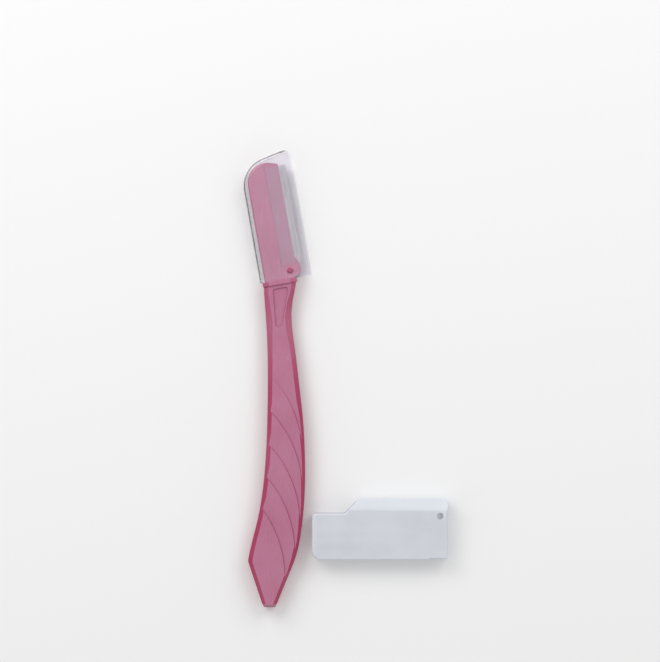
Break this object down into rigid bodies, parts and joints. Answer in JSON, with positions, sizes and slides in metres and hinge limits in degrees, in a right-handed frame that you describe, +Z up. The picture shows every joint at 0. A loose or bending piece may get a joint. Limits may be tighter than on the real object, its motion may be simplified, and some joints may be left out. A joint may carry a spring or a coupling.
{
  "type": "eyebrow razor",
  "caption": "Bowed handle eyebrow razor with a guarded steel blade along a rounded head, a clear pull-off cap and a loose notched precision cover.",
  "frame": {"origin": "on the flat of the back, in the middle of the widest section of the tail", "axes": "+X to the blade side, +Y along the handle towards the head, +Z up out of the front face"},
  "size_m": [0.0695, 0.1555, 0.0064],
  "materials": {
    "pink_plastic": "glossy, slightly translucent pink moulding",
    "blade_steel": "ground stainless strip",
    "guard_steel": "thin pressed stainless comb",
    "clear_plastic": "clear, slightly hazy moulding",
    "frosted_plastic": "milky translucent moulding"
  },
  "bodies": {
    "razor": {"handle": "pink_plastic", "blade": "blade_steel", "blade_guard": "guard_steel"},
    "cap": {"cap": "clear_plastic"},
    "precision_cover": {"precision_cover": "frosted_plastic"}
  },
  "joints": [
    {"name": "cap_slide", "type": "slide", "parent": "razor", "child": "cap", "axis": [-0.1736, 0.9848, 0], "range_m": [0, 0.048]},
    {"name": "cover_lift", "type": "slide", "parent": "razor", "child": "precision_cover", "axis": [0, 0, 1], "range_m": [0, 0.04]}
  ]
}
